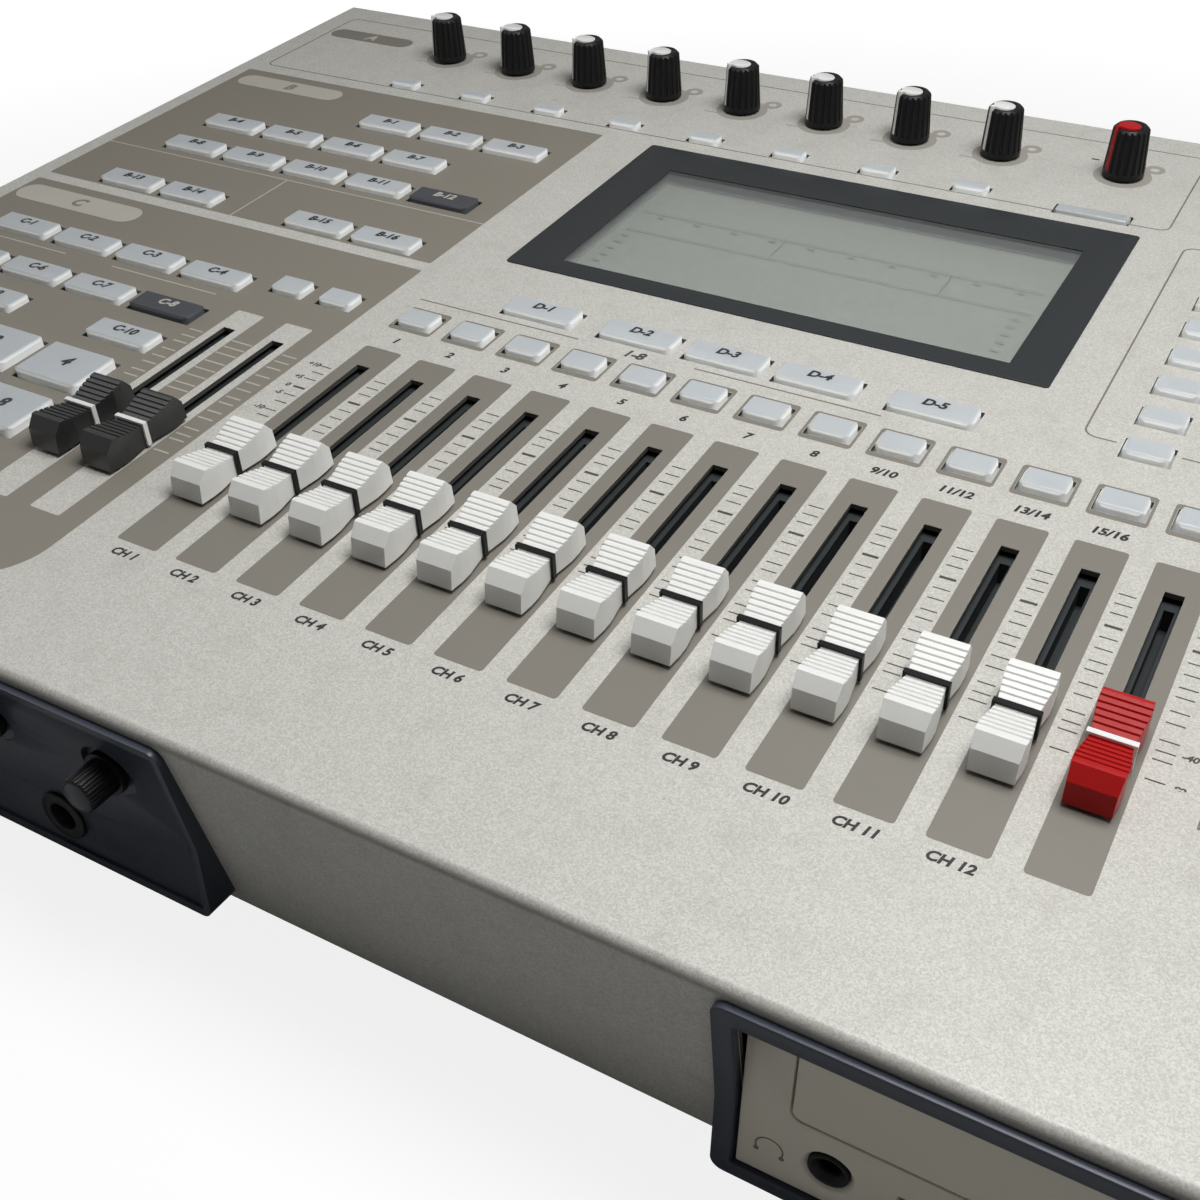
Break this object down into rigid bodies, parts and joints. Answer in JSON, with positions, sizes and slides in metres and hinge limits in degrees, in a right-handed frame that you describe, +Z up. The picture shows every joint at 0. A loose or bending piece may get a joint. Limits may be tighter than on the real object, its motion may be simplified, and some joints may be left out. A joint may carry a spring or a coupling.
{
  "type": "digital multitrack recorder",
  "caption": "Desktop digital multitrack recorder: sloping metal panel with slide faders, rotary knobs, push keys and a display, over a front with jacks and a disc drive.",
  "frame": {"origin": "on the table under the middle of the case's width and depth, at the level of the feet", "axes": "+X along the width to the user's right, +Y from front to back, +Z up"},
  "size_m": [0.4836, 0.3458, 0.0992],
  "materials": {
    "silver_paint": "fine metallic satin",
    "black_metal": "textured matt",
    "board": "satin",
    "alloy": "satin",
    "dark_plastic": "matt",
    "lcd": "satin",
    "pane": "clear",
    "charcoal": "satin",
    "gloss_black": "gloss",
    "cream_plastic": "satin",
    "steel": "zinc",
    "rubber": "matt",
    "white_plastic": "satin",
    "red_plastic": "satin",
    "grey_plastic": "matt",
    "key_plastic": "translucent satin"
  },
  "bodies": {
    "case": {"top_cover": "silver_paint", "base_tray": "black_metal", "rear_panel": "black_metal", "main_board": "board", "control_board": "board", "hard_disk": "alloy", "fader_bodies": "dark_plastic", "knob_pots": "alloy", "lcd_panel": "lcd", "display_window": "pane", "display_bezel": "charcoal", "jack_bezel": "gloss_black", "front_jacks": "dark_plastic", "drive_frame": "gloss_black", "drive_bezel": "cream_plastic", "drive_case": "alloy", "rear_jacks": "dark_plastic", "midi_sockets": "dark_plastic", "power_inlet": "dark_plastic", "cover_screws": "steel", "rubber_feet": "rubber"},
    "fader_1": {"fader_1": "white_plastic"},
    "fader_2": {"fader_2": "white_plastic"},
    "fader_3": {"fader_3": "white_plastic"},
    "fader_4": {"fader_4": "white_plastic"},
    "fader_5": {"fader_5": "white_plastic"},
    "fader_6": {"fader_6": "white_plastic"},
    "fader_7": {"fader_7": "white_plastic"},
    "fader_8": {"fader_8": "white_plastic"},
    "fader_9": {"fader_9": "white_plastic"},
    "fader_10": {"fader_10": "white_plastic"},
    "fader_11": {"fader_11": "white_plastic"},
    "fader_12": {"fader_12": "white_plastic"},
    "master_fader": {"master_fader": "red_plastic"},
    "drum_fader": {"drum_fader": "grey_plastic"},
    "bass_fader": {"bass_fader": "grey_plastic"},
    "input_knob_1": {"input_knob_1": "dark_plastic"},
    "input_knob_2": {"input_knob_2": "dark_plastic"},
    "input_knob_3": {"input_knob_3": "dark_plastic"},
    "input_knob_4": {"input_knob_4": "dark_plastic"},
    "input_knob_5": {"input_knob_5": "dark_plastic"},
    "input_knob_6": {"input_knob_6": "dark_plastic"},
    "input_knob_7": {"input_knob_7": "dark_plastic"},
    "input_knob_8": {"input_knob_8": "dark_plastic"},
    "level_knob": {"level_knob": "dark_plastic"},
    "sub_out_knob": {"sub_out_knob": "dark_plastic"},
    "phones_knob": {"phones_knob": "dark_plastic"},
    "jog_dial": {"jog_dial": "grey_plastic"},
    "disc_tray": {"disc_tray": "cream_plastic"},
    "eject_button": {"eject_button": "cream_plastic"},
    "volume_wheel": {"volume_wheel": "cream_plastic"},
    "power_switch": {"power_switch": "dark_plastic"},
    "effect_keys": {"effect_keys": "key_plastic"},
    "rhythm_keys": {"rhythm_keys": "key_plastic"},
    "drum_pads": {"drum_pads": "key_plastic"},
    "track_keys": {"track_keys": "key_plastic"},
    "input_keys": {"input_keys": "key_plastic"},
    "screen_keys": {"screen_keys": "key_plastic"},
    "parameter_keys": {"parameter_keys": "key_plastic"},
    "transport_keys": {"transport_keys": "key_plastic"}
  },
  "joints": [
    {"name": "fader_1_slide", "type": "slide", "parent": "case", "child": "fader_1", "axis": [0, 0.9969, 0.0785], "range_m": [0, 0.045]},
    {"name": "fader_2_slide", "type": "slide", "parent": "case", "child": "fader_2", "axis": [0, 0.9969, 0.0785], "range_m": [0, 0.045]},
    {"name": "fader_3_slide", "type": "slide", "parent": "case", "child": "fader_3", "axis": [0, 0.9969, 0.0785], "range_m": [0, 0.045]},
    {"name": "fader_4_slide", "type": "slide", "parent": "case", "child": "fader_4", "axis": [0, 0.9969, 0.0785], "range_m": [0, 0.045]},
    {"name": "fader_5_slide", "type": "slide", "parent": "case", "child": "fader_5", "axis": [0, 0.9969, 0.0785], "range_m": [0, 0.045]},
    {"name": "fader_6_slide", "type": "slide", "parent": "case", "child": "fader_6", "axis": [0, 0.9969, 0.0785], "range_m": [0, 0.045]},
    {"name": "fader_7_slide", "type": "slide", "parent": "case", "child": "fader_7", "axis": [0, 0.9969, 0.0785], "range_m": [0, 0.045]},
    {"name": "fader_8_slide", "type": "slide", "parent": "case", "child": "fader_8", "axis": [0, 0.9969, 0.0785], "range_m": [0, 0.045]},
    {"name": "fader_9_slide", "type": "slide", "parent": "case", "child": "fader_9", "axis": [0, 0.9969, 0.0785], "range_m": [0, 0.045]},
    {"name": "fader_10_slide", "type": "slide", "parent": "case", "child": "fader_10", "axis": [0, 0.9969, 0.0785], "range_m": [0, 0.045]},
    {"name": "fader_11_slide", "type": "slide", "parent": "case", "child": "fader_11", "axis": [0, 0.9969, 0.0785], "range_m": [0, 0.045]},
    {"name": "fader_12_slide", "type": "slide", "parent": "case", "child": "fader_12", "axis": [0, 0.9969, 0.0785], "range_m": [0, 0.045]},
    {"name": "master_fader_slide", "type": "slide", "parent": "case", "child": "master_fader", "axis": [0, 0.9969, 0.0785], "range_m": [0, 0.045]},
    {"name": "drum_fader_slide", "type": "slide", "parent": "case", "child": "drum_fader", "axis": [0, 0.9969, 0.0785], "range_m": [0, 0.045]},
    {"name": "bass_fader_slide", "type": "slide", "parent": "case", "child": "bass_fader", "axis": [0, 0.9969, 0.0785], "range_m": [0, 0.045]},
    {"name": "input_knob_1_turn", "type": "hinge", "parent": "case", "child": "input_knob_1", "pos_m": [-0.1715, 0.1366, 0.08388], "axis": [0, 0.0785, -0.9969], "range_deg": [-15, 285]},
    {"name": "input_knob_2_turn", "type": "hinge", "parent": "case", "child": "input_knob_2", "pos_m": [-0.1433, 0.1366, 0.08388], "axis": [0, 0.0785, -0.9969], "range_deg": [-15, 285]},
    {"name": "input_knob_3_turn", "type": "hinge", "parent": "case", "child": "input_knob_3", "pos_m": [-0.1151, 0.1366, 0.08388], "axis": [0, 0.0785, -0.9969], "range_deg": [-15, 285]},
    {"name": "input_knob_4_turn", "type": "hinge", "parent": "case", "child": "input_knob_4", "pos_m": [-0.0869, 0.1366, 0.08388], "axis": [0, 0.0785, -0.9969], "range_deg": [-15, 285]},
    {"name": "input_knob_5_turn", "type": "hinge", "parent": "case", "child": "input_knob_5", "pos_m": [-0.0587, 0.1366, 0.08388], "axis": [0, 0.0785, -0.9969], "range_deg": [-15, 285]},
    {"name": "input_knob_6_turn", "type": "hinge", "parent": "case", "child": "input_knob_6", "pos_m": [-0.0305, 0.1366, 0.08388], "axis": [0, 0.0785, -0.9969], "range_deg": [-15, 285]},
    {"name": "input_knob_7_turn", "type": "hinge", "parent": "case", "child": "input_knob_7", "pos_m": [-0.0023, 0.1366, 0.08388], "axis": [0, 0.0785, -0.9969], "range_deg": [-15, 285]},
    {"name": "input_knob_8_turn", "type": "hinge", "parent": "case", "child": "input_knob_8", "pos_m": [0.0259, 0.1366, 0.08388], "axis": [0, 0.0785, -0.9969], "range_deg": [-15, 285]},
    {"name": "level_knob_turn", "type": "hinge", "parent": "case", "child": "level_knob", "pos_m": [0.062, 0.1366, 0.08388], "axis": [0, 0.0785, -0.9969], "range_deg": [-15, 285]},
    {"name": "sub_out_knob_turn", "type": "hinge", "parent": "case", "child": "sub_out_knob", "pos_m": [-0.0475, -0.16359, 0.04325], "axis": [0, 1, 0], "range_deg": [-15, 285]},
    {"name": "phones_knob_turn", "type": "hinge", "parent": "case", "child": "phones_knob", "pos_m": [-0.08, -0.16359, 0.04325], "axis": [0, 1, 0], "range_deg": [-15, 285]},
    {"name": "jog_dial_turn", "type": "hinge", "parent": "case", "child": "jog_dial", "pos_m": [0.196, 0.04648, 0.07679], "axis": [0, 0.0785, -0.9969], "continuous": true},
    {"name": "disc_tray_slide", "type": "slide", "parent": "case", "child": "disc_tray", "axis": [0, -1, 0], "range_m": [0, 0.13]},
    {"name": "eject_press", "type": "slide", "parent": "case", "child": "eject_button", "axis": [0, 1, 0], "range_m": [0, 0.0015], "stiffness_N_per_m": 600, "springref_m": -0.001},
    {"name": "volume_wheel_turn", "type": "hinge", "parent": "case", "child": "volume_wheel", "pos_m": [0.1196, -0.15595, 0.02155], "axis": [0, 0, 1], "range_deg": [-135, 135]},
    {"name": "power_press", "type": "slide", "parent": "case", "child": "power_switch", "axis": [0, -1, 0], "range_m": [0, 0.002], "stiffness_N_per_m": 800, "springref_m": -0.001},
    {"name": "effect_keys_press", "type": "slide", "parent": "case", "child": "effect_keys", "axis": [0, 0.0785, -0.9969], "range_m": [0, 0.0008], "stiffness_N_per_m": 2500, "springref_m": -0.0008},
    {"name": "rhythm_keys_press", "type": "slide", "parent": "case", "child": "rhythm_keys", "axis": [0, 0.0785, -0.9969], "range_m": [0, 0.0008], "stiffness_N_per_m": 2500, "springref_m": -0.0008},
    {"name": "drum_pads_press", "type": "slide", "parent": "case", "child": "drum_pads", "axis": [0, 0.0785, -0.9969], "range_m": [0, 0.0008], "stiffness_N_per_m": 2500, "springref_m": -0.0008},
    {"name": "track_keys_press", "type": "slide", "parent": "case", "child": "track_keys", "axis": [0, 0.0785, -0.9969], "range_m": [0, 0.0008], "stiffness_N_per_m": 2500, "springref_m": -0.0008},
    {"name": "input_keys_press", "type": "slide", "parent": "case", "child": "input_keys", "axis": [0, 0.0785, -0.9969], "range_m": [0, 0.0008], "stiffness_N_per_m": 2500, "springref_m": -0.0008},
    {"name": "screen_keys_press", "type": "slide", "parent": "case", "child": "screen_keys", "axis": [0, 0.0785, -0.9969], "range_m": [0, 0.0008], "stiffness_N_per_m": 2500, "springref_m": -0.0008},
    {"name": "parameter_keys_press", "type": "slide", "parent": "case", "child": "parameter_keys", "axis": [0, 0.0785, -0.9969], "range_m": [0, 0.0008], "stiffness_N_per_m": 2500, "springref_m": -0.0008},
    {"name": "transport_keys_press", "type": "slide", "parent": "case", "child": "transport_keys", "axis": [0, 0.0785, -0.9969], "range_m": [0, 0.0008], "stiffness_N_per_m": 2500, "springref_m": -0.0008}
  ]
}
